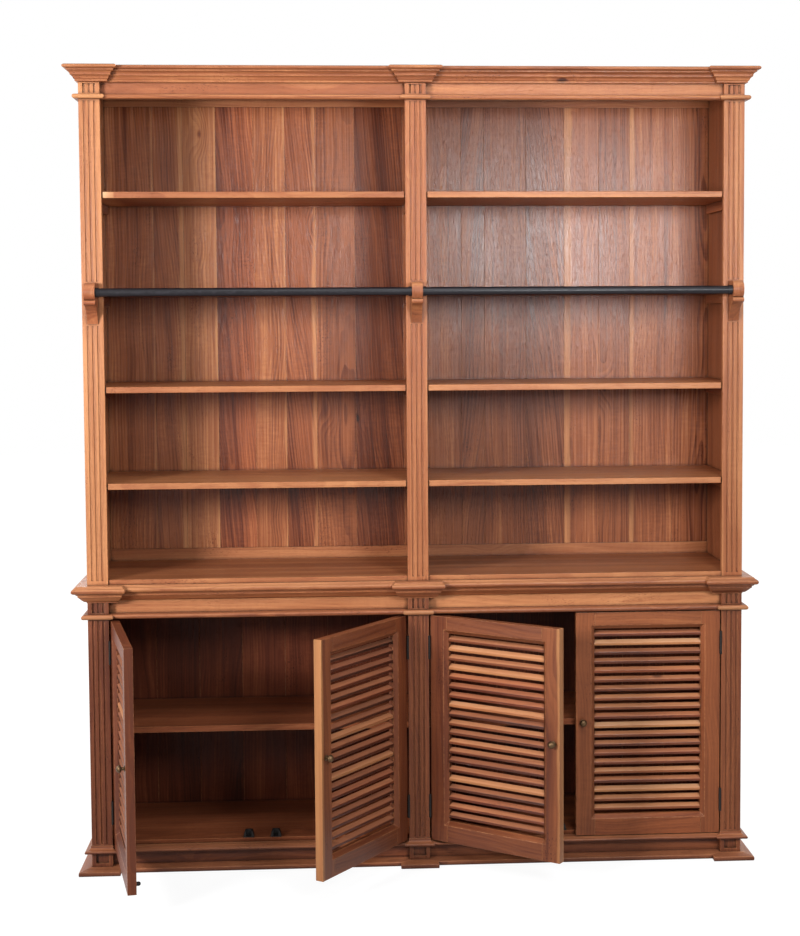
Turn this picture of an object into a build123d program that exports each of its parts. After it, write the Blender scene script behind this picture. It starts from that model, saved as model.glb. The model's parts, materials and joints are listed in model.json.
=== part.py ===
"""Two-part library bookcase: open shelves with a ladder rail over a cupboard with louvred doors.

Millimetres, +Z up. The origin is on the floor, at the centre of the base's footprint;
the front faces -Y. The four doors stand open at their rest angles.
"""
import os
from math import atan, cos, degrees, radians, tan
from build123d import *

# ---- Driving dimensions -------------------------------------------------------------------
case_width = 1970.0          # over the side panels
base_depth = 440.0           # front of the pilasters to the back of the base
upper_depth = 422.0          # front of the pilasters to the back of the upper case
panel = 17.0                 # side panels
divider = 18.0               # centre partitions
shelf_board = 18.0
facing = 18.0                # plinth and frieze boards
base_relief = 27.0           # thickness of the base pilasters and blocks
upper_relief = 20.0          # thickness of the upper pilasters and blocks

pilaster_width = 62.0
flute_spacing = 15.0
flute_radius = 3.0
flute_foot = 13.0            # plain wood at the foot of an upper pilaster
flute_margin = 5.0           # plain wood at the other flute ends
sunk_width = 38.0            # sunk panel in each frieze and plinth block
sunk_margin = 4.0
frieze_sinking = 4.0
plinth_sinking = 10.0
plinth_ledge = 10.0          # plain wood below a plinth block's panel

block_height = 84.0          # plinth blocks under the base pilasters
base_pilaster_height = 685.0
base_frieze_height = 66.0    # up to the counter board
counter_board = 22.0
upper_pilaster_height = 1432.0
upper_frieze_height = 35.0   # up to the cornice
cornice_height = 48.0

bead_height = 14.0
base_bead_reach = 17.0
upper_bead_reach = 16.0
bead_relief = 10.5           # step of a bead between a pilaster and a bay
foot_reach = 35.5
foot_height = 19.0
cap_z = 62.0
cap_height = 22.0            # against a pilaster
cap_bay_height = 14.0        # under the doors
cap_reach = 19.0
cap_relief = 11.0
counter_moulding_height = 31.0
counter_moulding_reach = 31.0
counter_reach = 42.0
cornice_reach = 40.0
counter_end = 20.0           # how far the ressauts run on beside a pilaster
cornice_end = 11.0
corner_end_extra = 5.0       # and further on the two corners

# how much wider a ressaut gets for each unit of its profile's reach
foot_splay = 0.76
cap_splay = 0.74
bead_splay = 0.86
counter_splay = 0.68
cornice_splay = 0.94

floor_board = 18.0
floor_top = 87.2             # cupboard floor
floor_setback = 33.0
base_shelf_top = 429.5
base_shelf_setback = 50.0
back_board = 15.0            # planks behind the cupboard
back_board_count = 14

upper_floor_board = 14.7
nosing_setback = 6.0         # shelf fronts behind the pilaster faces
nosing_gap = 1.5             # shelf nosing beside a pilaster
nosing_radius = 3.0
nosing_ease = 1.5
shelf_spacing = 287.0
top_shelf_height = 2033.8
shelves_per_bay = 4
back_rail = 18.0
back_plank = 10.0
plank_inset = 4.0
groove_depth = 8.0
bottom_rail_height = 51.0
top_rail_height = 41.0
plank_widths = (151, 95, 104, 119, 99, 97, 125, 154, 81, 107, 74, 135, 124, 112, 101, 140, 118)
cleat_height = 29.0
cleat_thick = 14.0
cleat_radius = 12.0
cleat_front = 12.0           # behind the pilaster's back
cleat_back = 20.0            # in front of the back

# doors
door_gap = 3.0               # at the hinge side and where two doors meet
door_setback = 5.0           # door face behind the pilaster face
door_thick = 25.0
door_bottom_gap = 2.0        # above the plinth cap moulding
door_top_gap = 4.0
stile_width = 58.0
top_rail_width = 52.0
bottom_rail_width = 62.5
sticking_width = 12.0        # bevelled inner edge of the door frame
sticking_depth = 12.0
tenon_length = 24.0
tenon_thick = 8.0
tenon_shoulder = 12.0
joint_fit = 0.1              # round tenons and slat ends
slat_count = 20
slat_pitch = 28.3
slat_thick = 11.0
slat_depth = 12.5
slat_slope = 32.0            # degrees, rising towards the inside
slat_ease = 4.0
slat_housing = 7.0
lowest_slat = 6.5            # above the bottom rail
rest_angles = (78.0, 55.0, 36.0, 0.0)

# door furniture
hinge_length = 70.5
hinge_inset_top = 62.0
hinge_inset_bottom = 69.0
knuckle_count = 5
knuckle_radius = 3.6
knuckle_clearance = 0.2
pin_radius = 1.5
pin_clearance = 0.05
leaf_thick = 1.2
leaf_width = 16.0
knob_radius = 11.0
knob_reach = 24.0
knob_rose = 8.0
knob_rose_thick = 2.0
knob_neck = 4.6
knob_neck_start = 3.5
knob_neck_end = 9.0
knob_cheek = 9.0             # radius where the neck opens into the head
knob_cheek_reach = 11.5
knob_brim = 15.0             # the widest place, from the door
knob_inset = 20.0            # knob axis from the free edge
knob_height = 428.5
striker_inset = 39.5         # prong axis from the free edge
striker_radius = 6.0
striker_length = 13.0
striker_lift = 3.0           # prong above the cupboard floor
striker_plate = 2.0
striker_plate_width = 28.0
striker_plate_margin = 2.0   # plate above and below the prong
catch_width = 32.0
catch_top_width = 23.0
catch_slot_clearance = 1.8
catch_length = 26.0
catch_stop = 6.0             # wall that closes the slot at the back
catch_height = 20.0
catch_plate = 2.5
catch_corner = 3.0

# ladder rail
rod_radius = 12.5
rod_height = 1738.0
rod_standoff = 50.0          # rod axis in front of the pilaster faces
rod_socket = 12.0
collar_radius = 14.5
collar_length = 10.0
bracket_width = 32.0
bracket_nose = 22.0          # wood in front of the rod axis
bracket_nose_lift = 2.0      # its foremost place, above the rod axis
bracket_crown = 28.0         # wood above the rod axis
bracket_crown_back = 4.0     # where the crown's curve begins, behind the rod axis
bracket_chin = 22.0          # rod axis down to the bead
bracket_throat = 9.0         # wood in front of the rod axis, at the bead
bracket_bead = 14.0
bracket_bead_side = 1.0      # bead beyond the bracket's cheeks
bracket_cove = 21.0          # middle of the foot's cove, from the pilaster face
bracket_cove_drop = 60.0     # and down from the rod axis
bracket_toe = 5.0
bracket_drop = 92.0          # rod axis down to the bracket's foot
bracket_plain = 5.0          # plain pilaster above and below a bracket

# ---- Places worked out from them ------------------------------------------------------------
half = case_width / 2
inner = half - panel
front = -base_depth / 2
base_back = base_depth / 2
upper_back = front + upper_depth
pilaster_half = pilaster_width / 2
corner_x = half - pilaster_half
pilaster_xs = (-corner_x, 0.0, corner_x)
bay_width = corner_x - pilaster_width
base_face = front + base_relief          # plinth and frieze boards
upper_face = front + upper_relief
cupboard_back = base_back - back_board
upper_inner_back = upper_back - back_rail

bead_z = block_height + base_pilaster_height
base_frieze_z = bead_z + bead_height
counter_z = base_frieze_z + base_frieze_height
counter_moulding_z = counter_z - counter_moulding_height
counter_top_z = counter_z + counter_board
upper_bead_z = counter_top_z + upper_pilaster_height
upper_frieze_z = upper_bead_z + bead_height
cornice_z = upper_frieze_z + upper_frieze_height
carcass_top = cornice_z + shelf_board
upper_floor_z = counter_top_z + upper_floor_board
shelf_zs = [top_shelf_height - shelf_board - k * shelf_spacing for k in range(shelves_per_bay)]

door_z = cap_z + cap_bay_height + door_bottom_gap
door_height = bead_z - door_top_gap - door_z
door_width = (bay_width - 3 * door_gap) / 2
door_face = knuckle_radius + knuckle_clearance   # behind the hinge axis
hinge_y = front + door_setback - door_face
hinge_edge = door_gap / 2                        # hinge axis to the door's edge
free_edge = hinge_edge + door_width
hinge_xs = (-corner_x + pilaster_half + hinge_edge, -pilaster_half - hinge_edge,
            pilaster_half + hinge_edge, corner_x - pilaster_half - hinge_edge)
hinge_zs = (door_z + hinge_inset_bottom, door_z + door_height - hinge_inset_top - hinge_length)
opening_z = door_z + bottom_rail_width
opening_height = door_height - bottom_rail_width - top_rail_width
opening_width = door_width - 2 * stile_width
opening_left = hinge_edge + stile_width
striker_u = free_edge - striker_inset
striker_z = floor_top + striker_lift + striker_radius
rod_y = front - rod_standoff
well_beyond = 2 * counter_reach                  # past every moulding


def save(shape, name):
    """Label a finished piece and write its STEP file."""
    shape.label = name
    export_step(shape, f"parts/{name}.step")


def solids_of(*pieces):
    """One node made of solids that touch without being fused."""
    return Compound([solid for piece in pieces for solid in piece.solids()])


def board(x0, x1, y0, y1, z0, z1):
    """Plain board between two corners."""
    with BuildPart() as body:
        with BuildSketch(Plane.XY.offset(z0)):
            with Locations(((x0 + x1) / 2, (y0 + y1) / 2)):
                Rectangle(x1 - x0, y1 - y0)
        extrude(amount=z1 - z0)
    return body.part


def either_side(x0, x1, *rest):
    """The same board in the left and in the right bay."""
    return solids_of(board(-x1, -x0, *rest), board(x0, x1, *rest))


# ---- Mouldings ------------------------------------------------------------------------------
# A profile is a list of steps from bottom to top. A step (reach, height) is a straight run to
# that point, and a step of two points is an arc through the first to the second. Reach is
# measured out from the face that the moulding is planted on. The shapes below give both as
# shares of the whole profile's reach and height.

foot_shape = [(0.96, 0), ((1, 0.34), (0.96, 0.68)), (0.11, 1)]
cap_shape = [(0.76, 0), ((1, 0.205), (0.76, 0.41)), ((0.37, 0.51), (0.16, 0.68)), (0.11, 1)]
cap_bay_shape = [(0.76, 0), ((1, 0.32), (0.76, 0.64)), (0.3, 1)]
counter_moulding_shape = [
    (0.05, 0), (0.05, 0.1), (0.26, 0.16), ((0.47, 0.34), (0.71, 0.6)), (0.81, 0.68),
    (0.81, 0.84), ((0.935, 0.89), (1, 1))]
counter_edge_shape = [
    (0.81, 0), (0.905, 0.07), ((1, 0.385), (0.905, 0.68)), ((0.785, 0.8), (0.74, 0.91)),
    (0.69, 1)]
cornice_shape = [
    (0.02, 0), (0.2, 0.04), (0.2, 0.125), (0.29, 0.19), ((0.35, 0.3), (0.51, 0.395)),
    (0.51, 0.49), ((0.59, 0.585), (0.75, 0.655)), (0.75, 0.74), (0.91, 0.78),
    ((1, 0.865), (0.925, 0.97)), (0.85, 1)]


def sized(shape, reach, z, height):
    """A profile of the given reach and height, standing on z."""
    def at(point):
        return (point[0] * reach, z + point[1] * height)

    return [(at(step[0]), at(step[1])) if isinstance(step[0], tuple) else at(step)
            for step in shape]


def half_round(z, height, reach):
    """Profile of a board whose edge is a half round."""
    flat = reach - height / 2
    return [(flat, z), ((reach, z + height / 2), (flat, z + height))]


def draw_profile(profile, place):
    """Draw a profile inside a BuildLine, its points placed by the given function."""
    here = place(*profile[0])
    for step in profile[1:]:
        if isinstance(step[0], tuple):
            there = place(*step[1])
            ThreePointArc(here, place(*step[0]), there)
        else:
            there = place(*step)
            Line(here, there)
        here = there
    return here


def front_run(profile, face, back, reach_x):
    """Straight length of moulding along X, planted on a face and solid to the back."""
    with BuildPart() as run:
        with BuildSketch(Plane.YZ):
            with BuildLine():
                top = draw_profile(profile, lambda o, z: (face - o, z))
                Polyline(top, (back, top[1]), (back, profile[0][1]),
                         (face - profile[0][0], profile[0][1]))
            make_face()
        extrude(amount=reach_x, both=True)
    return run.part


def between_sides(profile):
    """Everything between the two side profiles, to shape the ends of a front run."""
    with BuildPart() as sides:
        with BuildSketch(Plane.XZ):
            with BuildLine():
                right = draw_profile(profile, lambda o, z: (half + o, z))
                left = draw_profile(profile, lambda o, z: (-half - o, z))
                Line(left, right)
                Line((-half - profile[0][0], profile[0][1]), (half + profile[0][0], profile[0][1]))
            make_face()
        extrude(amount=base_depth, both=True)
    return sides.part


def bay_recess(profile, side, ends, splay, face):
    """What is cut from a moulding in one bay, so that it steps back between the pilasters."""
    def centre_end(o, z):
        return (side * (ends[0] + splay * o), z)

    def corner_end(o, z):
        return (side * (corner_x - ends[1] - splay * o), z)

    with BuildPart() as recess:
        with BuildSketch(Plane.XZ.offset(-face)):
            with BuildLine():
                centre_top = draw_profile(profile, centre_end)
                corner_top = draw_profile(profile, corner_end)
                Line(centre_end(*profile[0]), corner_end(*profile[0]))
                Line(centre_top, corner_top)
            make_face()
        extrude(amount=base_depth)
    return recess.part


def breakfront(profile, relief, splay, face, back, beside=0, beside_extra=0, bay_profile=None):
    """Moulded board with a ressaut over each pilaster; its profile returns along both sides.

    The ressauts run on beside the pilasters, and on the corners by an extra width.
    """
    slab = front_run(profile, front, back, half + well_beyond)
    sides = between_sides(profile)
    ends = (pilaster_half + beside, pilaster_half + beside + beside_extra)
    recesses = [bay_recess(profile, side, ends, splay, face) for side in (-1, 1)]
    bays = front_run(bay_profile or profile, front + relief, face, corner_x)
    with BuildPart() as moulding:
        add(slab)
        add(sides, mode=Mode.INTERSECT)
        for recess in recesses:
            add(recess, mode=Mode.SUBTRACT)
        add(bays)
    return moulding.part


def side_space(side, z0, z1):
    """Space beside the case that a side return fills, cut off at the front mitre."""
    with BuildPart() as space:
        with BuildSketch(Plane.XY.offset(z0)):
            with BuildLine():
                Polyline((side * half, front),
                         (side * (half + well_beyond), front - well_beyond),
                         (side * (half + well_beyond), base_depth), (side * half, base_depth),
                         close=True)
            make_face()
        extrude(amount=z1 - z0)
    return space.part


def planted(whole, face, core):
    """Cut a breakfront to what is planted on the case: a front length and two mitred returns."""
    box = whole.bounding_box()
    inside = board(-half, half, face, base_depth, box.min.Z, box.max.Z)
    spaces = [side_space(side, box.min.Z, box.max.Z) for side in (-1, 1)]
    with BuildPart() as length:
        add(whole)
        for piece in [inside, *core, *spaces]:
            add(piece, mode=Mode.SUBTRACT)
    returns = []
    for space in spaces:
        with BuildPart() as side_return:
            add(whole)
            add(space, mode=Mode.INTERSECT)
        returns.append(side_return.part)
    return solids_of(length.part, *returns)


# ---- Pilasters and blocks ----------------------------------------------------------------------
def fluted(x, thick, z0, height, flute_runs, gains=()):
    """Pilaster board with three flutes; gains are the hinges whose knuckles it is cut for."""
    with BuildPart() as strip:
        with BuildSketch(Plane.XY.offset(z0)):
            with Locations((x, front + thick / 2)):
                Rectangle(pilaster_width, thick)
        extrude(amount=height)
        for low, high in flute_runs:
            with BuildSketch(Plane.XY.offset(low)):
                with Locations(*[(x + k * flute_spacing, front) for k in (-1, 0, 1)]):
                    Circle(flute_radius)
            extrude(amount=high - low, mode=Mode.SUBTRACT)
        for hinge_x in gains:
            for z in hinge_zs:
                with BuildSketch(Plane.XY.offset(z - knuckle_clearance)):
                    with Locations((hinge_x, hinge_y)):
                        Circle(door_face)
                extrude(amount=hinge_length + 2 * knuckle_clearance, mode=Mode.SUBTRACT)
    return strip.part


def sunk_block(x, thick, z0, height, low, high, sinking, flutes=()):
    """Block that carries a pilaster up or down, with a sunk panel, fluted or plain, in its face."""
    with BuildPart() as body:
        with BuildSketch(Plane.XY.offset(z0)):
            with Locations((x, front + thick / 2)):
                Rectangle(pilaster_width, thick)
        extrude(amount=height)
        with BuildSketch(Plane.XY.offset(low)):
            with Locations((x, front)):
                Rectangle(sunk_width, 2 * sinking)
            for k in flutes:
                with Locations((x + k * flute_spacing, front + sinking)):
                    Circle(flute_radius)
        extrude(amount=high - low, mode=Mode.SUBTRACT)
    return body.part


# ---- Case boards -------------------------------------------------------------------------------
def shelf(side, z):
    """Shelf of one bay, notched round the pilasters, its nosing eased."""
    nosing = front + nosing_setback
    end_0 = pilaster_half + nosing_gap
    end_1 = corner_x - pilaster_half - nosing_gap
    with BuildPart() as body:
        with BuildSketch(Plane.XY.offset(z)) as outline:
            with BuildLine():
                Polyline((divider / 2, upper_inner_back), (divider / 2, upper_face),
                         (end_0, upper_face), (end_0, nosing), (end_1, nosing),
                         (end_1, upper_face), (inner, upper_face), (inner, upper_inner_back),
                         close=True)
            make_face()
            fillet(outline.vertices().group_by(Axis.Y)[0], radius=nosing_radius)
        extrude(amount=shelf_board)
        fillet(body.edges().filter_by(Axis.X).group_by(Axis.Y)[0], radius=nosing_ease)
    return body.part if side > 0 else mirror(body.part, about=Plane.YZ)


def cleat(x0, x1, y0, y1, top):
    """Bearer under a shelf end, its lower corners rounded."""
    with BuildPart() as body:
        with BuildSketch(Plane.YZ.offset(x0)) as outline:
            with Locations(((y0 + y1) / 2, top - cleat_height / 2)):
                Rectangle(y1 - y0, cleat_height)
            fillet(outline.vertices().group_by(Axis.Y)[0], radius=cleat_radius)
        extrude(amount=x1 - x0)
    return body.part


def bay_cleats(y0, y1, top):
    """The four bearers of one shelf height."""
    ends = ((divider / 2, divider / 2 + cleat_thick), (inner - cleat_thick, inner))
    return [cleat(*sorted((side * x0, side * x1)), y0, y1, top)
            for side in (-1, 1) for x0, x1 in ends]


def planks(widths, y0, y1, z0, z1):
    """Vertical back boards side by side across the case."""
    scale = 2 * inner / sum(widths)
    pieces = []
    x = -inner
    for width in widths:
        pieces.append(board(x, x + width * scale, y0, y1, z0, z1))
        x += width * scale
    return solids_of(*pieces)


def grooved_rail(z0, z1, groove_z0, groove_z1):
    """Back rail, grooved for the planks."""
    with BuildPart() as rail:
        add(board(-inner, inner, upper_inner_back, upper_back, z0, z1))
        add(board(-inner, inner, upper_inner_back + plank_inset,
                  upper_inner_back + plank_inset + back_plank, groove_z0, groove_z1),
            mode=Mode.SUBTRACT)
    return rail.part


# ---- Doors, drawn shut and left-hung: X from the hinge axis, Y behind it ------------------------
opening_plane = Plane(origin=(opening_left + opening_width / 2, door_face,
                              opening_z + opening_height / 2), x_dir=(1, 0, 0), z_dir=(0, 1, 0))
with BuildPart() as sticking:
    # what the bevel takes off round the louvred opening, mitred at its corners
    with BuildSketch(opening_plane):
        Rectangle(opening_width + 2 * sticking_width, opening_height + 2 * sticking_width)
    extrude(amount=sticking_depth, taper=degrees(atan(sticking_width / sticking_depth)))


def slat_places():
    """Height of each slat's lower front edge."""
    return [opening_z + lowest_slat + k * slat_pitch for k in range(slat_count)]


def slat_section(fit, ease):
    """Section of a slat, grown by a fit and with its front edges eased."""
    y0 = door_face + sticking_depth
    y1 = y0 + slat_depth
    rise = slat_depth * tan(radians(slat_slope))
    tall = slat_thick / cos(radians(slat_slope))
    with BuildSketch() as section:
        with BuildLine():
            Polyline((y0, 0), (y0, tall), (y1, tall + rise), (y1, rise), close=True)
        make_face()
        if ease:
            fillet(section.vertices().group_by(Axis.X)[0], radius=ease)
        if fit:
            offset(amount=fit, kind=Kind.INTERSECTION)
    return section.sketch


def slat_row(x0, length, section):
    """One slat section at every slat's place, drawn out along X."""
    with BuildPart() as row:
        with BuildSketch(Plane.YZ.offset(x0)):
            with Locations(*[(0, z) for z in slat_places()]):
                add(section)
        extrude(amount=length)
    return row.part


def rail_spans():
    """Bottom and top of each rail, with its tenons' bottom and top."""
    low = (door_z, opening_z)
    high = (opening_z + opening_height, door_z + door_height)
    return [(z0, z1, z0 + tenon_shoulder, z1 - tenon_shoulder) for z0, z1 in (low, high)]


tenon_y = door_face + sticking_depth

housing_section = slat_section(joint_fit, 0)
with BuildPart() as door_stiles:
    for x in (hinge_edge, free_edge - stile_width):
        add(board(x, x + stile_width, door_face, door_face + door_thick,
                  door_z, door_z + door_height))
    add(sticking.part, mode=Mode.SUBTRACT)
    for z0, z1, tenon_0, tenon_1 in rail_spans():
        add(board(opening_left - tenon_length - joint_fit,
                  opening_left + opening_width + tenon_length + joint_fit,
                  tenon_y - joint_fit, tenon_y + tenon_thick + joint_fit,
                  tenon_0 - joint_fit, tenon_1 + joint_fit), mode=Mode.SUBTRACT)
    add(slat_row(opening_left - slat_housing, opening_width + 2 * slat_housing,
                 housing_section), mode=Mode.SUBTRACT)

with BuildPart() as door_rails:
    for z0, z1, tenon_0, tenon_1 in rail_spans():
        add(board(opening_left, opening_left + opening_width, door_face, door_face + door_thick,
                  z0, z1))
        add(board(opening_left - tenon_length, opening_left + opening_width + tenon_length,
                  tenon_y, tenon_y + tenon_thick, tenon_0, tenon_1))
    add(sticking.part, mode=Mode.SUBTRACT)

door_louvres = slat_row(opening_left - slat_housing + joint_fit,
                        opening_width + 2 * (slat_housing - joint_fit),
                        slat_section(0, slat_ease))

knob_plane = Plane(origin=(free_edge - knob_inset, door_face, knob_height),
                   x_dir=(1, 0, 0), z_dir=(0, 0, -1))
crown_centre = (knob_reach ** 2 - knob_brim ** 2 - knob_radius ** 2) / (
    2 * (knob_reach - knob_brim))
crown_radius = knob_reach - crown_centre
with BuildPart() as door_knob:
    with BuildSketch(knob_plane):
        with BuildLine():
            Polyline((0, knob_reach), (0, 0), (knob_rose, 0), (knob_rose, knob_rose_thick),
                     (knob_neck, knob_neck_start), (knob_neck, knob_neck_end),
                     (knob_cheek, knob_cheek_reach), (knob_radius, knob_brim))
            RadiusArc((knob_radius, knob_brim), (0, knob_reach), -crown_radius)
        make_face()
    revolve(axis=Axis(knob_plane.origin, (0, -1, 0)))


def hinge_half(z, side, mine, is_pinned):
    """Leaf and knuckles of one hinge; side is +1 on the door and -1 on the pilaster."""
    plate = sorted((side * (hinge_edge - leaf_thick), side * hinge_edge))
    plate_y = knuckle_radius + 2 * knuckle_clearance
    step = hinge_length / knuckle_count
    with BuildPart() as leaf:
        add(board(*plate, plate_y, plate_y + leaf_width, z, z + hinge_length))
        for k in mine:
            z0 = z + k * step
            z1 = z0 + step - knuckle_clearance
            add(board(*plate, 0, plate_y, z0, z1))
            with BuildSketch(Plane.XY.offset(z0)):
                Circle(knuckle_radius)
            extrude(amount=z1 - z0)
        with BuildSketch(Plane.XY.offset(z)):
            Circle(pin_radius if is_pinned else pin_radius + pin_clearance)
        extrude(amount=hinge_length - knuckle_clearance,
                mode=Mode.ADD if is_pinned else Mode.SUBTRACT)
    return leaf.part


frame_knuckles = range(0, knuckle_count, 2)
door_knuckles = range(1, knuckle_count, 2)
striker_plane = Plane(origin=(striker_u, door_face + door_thick, striker_z),
                      x_dir=(1, 0, 0), z_dir=(0, 0, 1))
with BuildPart() as striker:
    add(board(striker_u - striker_plate_width / 2, striker_u + striker_plate_width / 2,
              door_face + door_thick, door_face + door_thick + striker_plate,
              striker_z - striker_radius - striker_plate_margin,
              striker_z + striker_radius + striker_plate_margin))
    with BuildSketch(striker_plane):
        with BuildLine():
            tip = striker_plate + striker_length
            Polyline((0, 0), (striker_radius, 0), (striker_radius, tip - striker_radius))
            RadiusArc((striker_radius, tip - striker_radius), (0, tip), -striker_radius)
            Line((0, tip), (0, 0))
        make_face()
    revolve(axis=Axis(striker_plane.origin, (0, 1, 0)))


def hand(shape, door):
    """Doors two and four are right-hung, so their pieces are mirrored."""
    return shape if door % 2 == 0 else mirror(shape, about=Plane.YZ)


def hang(shape, door):
    """Place a door piece on its hinge axis, swung open to the door's rest angle."""
    turn = -rest_angles[door] if door % 2 == 0 else rest_angles[door]
    return Location((hinge_xs[door], hinge_y, 0), (0, 0, turn)) * hand(shape, door)


# ---- Ladder rail -----------------------------------------------------------------------------
def rail_bracket(x, rod_sides):
    """Wooden corbel that holds the rod ends: a head round the rod, a bead and a coved foot."""
    throat_y = rod_y - bracket_throat
    chin_z = rod_height - bracket_chin
    foot_z = rod_height - bracket_drop
    crown_z = rod_height + bracket_crown
    with BuildPart() as corbel:
        with BuildSketch(Plane.YZ.offset(x - bracket_width / 2)):
            with BuildLine():
                Polyline((front, foot_z), (front, crown_z), (rod_y + bracket_crown_back, crown_z))
                ThreePointArc((rod_y + bracket_crown_back, crown_z),
                              (rod_y - bracket_nose, rod_height + bracket_nose_lift),
                              (throat_y, chin_z))
                Line((throat_y, chin_z), (throat_y, chin_z - bracket_bead))
                ThreePointArc((throat_y, chin_z - bracket_bead),
                              (front - bracket_cove, rod_height - bracket_cove_drop),
                              (front - bracket_toe, foot_z))
                Line((front - bracket_toe, foot_z), (front, foot_z))
            make_face()
        extrude(amount=bracket_width)
        with BuildSketch(Plane.YZ.offset(x - bracket_width / 2 - bracket_bead_side)):
            with Locations((throat_y, chin_z - bracket_bead / 2)):
                Circle(bracket_bead / 2)
            with Locations(((throat_y + front) / 2, chin_z - bracket_bead / 2)):
                Rectangle(front - throat_y, bracket_bead)
        extrude(amount=bracket_width + 2 * bracket_bead_side)
        for side in rod_sides:
            with BuildSketch(Plane.YZ.offset(x + side * bracket_width / 2)):
                with Locations((rod_y, rod_height)):
                    Circle(rod_radius + joint_fit)
            extrude(amount=-side * rod_socket, mode=Mode.SUBTRACT)
    return corbel.part


def rod(x0, x1):
    """One length of rail."""
    with BuildPart() as bar:
        with BuildSketch(Plane.YZ.offset(x0)):
            with Locations((rod_y, rod_height)):
                Circle(rod_radius)
        extrude(amount=x1 - x0)
    return bar.part


def collar(x0):
    """Ring round a rod end, against its bracket."""
    with BuildPart() as ring:
        with BuildSketch(Plane.YZ.offset(x0)):
            with Locations((rod_y, rod_height)):
                Circle(collar_radius)
                Circle(rod_radius + joint_fit, mode=Mode.SUBTRACT)
        extrude(amount=collar_length)
    return ring.part


def floor_catch(x):
    """Catch on the cupboard floor: two jaws on a plate, open to the front for the prong."""
    mouth = Plane.XZ.offset(-front - floor_setback)
    bite = striker_radius + catch_slot_clearance
    with BuildPart() as body:
        with BuildSketch(mouth) as outline:
            with BuildLine():
                Polyline((x - catch_width / 2, floor_top), (x + catch_width / 2, floor_top),
                         (x + catch_width / 2, floor_top + catch_plate),
                         (x + catch_top_width / 2, floor_top + catch_height),
                         (x - catch_top_width / 2, floor_top + catch_height),
                         (x - catch_width / 2, floor_top + catch_plate), close=True)
            make_face()
            fillet(outline.vertices().group_by(Axis.Y)[-1], radius=catch_corner)
        extrude(amount=-catch_length)
        with BuildSketch(mouth):
            with Locations((x, floor_top + catch_plate + catch_height / 2)):
                Rectangle(2 * bite, catch_height)
        extrude(amount=catch_stop - catch_length, mode=Mode.SUBTRACT)
    return body.part


# ---- Making the pieces ------------------------------------------------------------------------
os.makedirs("parts", exist_ok=True)

# plinth
plinth_blocks = [sunk_block(x, base_relief, 0, block_height, foot_height + plinth_ledge,
                            cap_z - sunk_margin, plinth_sinking) for x in pilaster_xs]
save(solids_of(*plinth_blocks), "plinth_blocks")
save(either_side(divider / 2, inner, base_face, base_face + facing, 0, floor_top - floor_board),
     "plinth_boards")
foot_profile = sized(foot_shape, foot_reach, 0, foot_height)
save(planted(breakfront(foot_profile, base_relief, foot_splay, base_face, base_back),
             base_face, plinth_blocks), "plinth_foot_moulding")
cap_profile = sized(cap_shape, cap_reach, cap_z, cap_height)
cap_bay_profile = sized(cap_bay_shape, cap_reach, cap_z, cap_bay_height)
save(planted(breakfront(cap_profile, cap_relief, cap_splay, base_face, base_back,
                        bay_profile=cap_bay_profile), base_face, plinth_blocks),
     "plinth_cap_moulding")

# base case
for side, name in ((-1, "left"), (1, "right")):
    x0, x1 = sorted((side * inner, side * half))
    save(board(x0, x1, base_face, base_back, 0, counter_z), f"base_side_{name}")
    save(board(x0, x1, upper_face, upper_back, counter_top_z, carcass_top), f"upper_side_{name}")
save(board(-divider / 2, divider / 2, base_face, cupboard_back, 0, counter_z), "base_partition")
save(either_side(divider / 2, inner, front + floor_setback, cupboard_back,
                 floor_top - floor_board, floor_top), "base_floor")
save(either_side(divider / 2, inner, front + base_shelf_setback, cupboard_back,
                 base_shelf_top - shelf_board, base_shelf_top), "base_shelves")
save(planks([1] * back_board_count, cupboard_back, base_back, 0, counter_z), "base_back")
base_flutes = [(block_height + flute_margin, bead_z - flute_margin)]
gains = (hinge_xs[:1], hinge_xs[1:3], hinge_xs[3:])
save(solids_of(*[fluted(x, base_relief, block_height, base_pilaster_height, base_flutes, near)
                 for x, near in zip(pilaster_xs, gains)]), "base_pilasters")
base_bead = half_round(bead_z, bead_height, base_bead_reach)
save(planted(breakfront(base_bead, bead_relief, bead_splay, base_face, base_back),
             base_face, []), "base_bead")
save(either_side(divider / 2, inner, base_face, base_face + facing, base_frieze_z, counter_z),
     "base_frieze")
save(solids_of(*[sunk_block(x, base_relief, base_frieze_z, counter_moulding_z - base_frieze_z,
                            base_frieze_z + sunk_margin, counter_moulding_z, frieze_sinking,
                            (-1, 0, 1)) for x in pilaster_xs]), "base_frieze_blocks")
counter_moulding_profile = sized(counter_moulding_shape, counter_moulding_reach,
                                 counter_moulding_z, counter_moulding_height)
save(planted(breakfront(counter_moulding_profile, base_relief, counter_splay, base_face,
                        base_back, counter_end, corner_end_extra), base_face, []),
     "counter_moulding")
save(breakfront(sized(counter_edge_shape, counter_reach, counter_z, counter_board), base_relief,
                counter_splay, base_face, base_back, counter_end, corner_end_extra),
     "counter_top")

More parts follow.
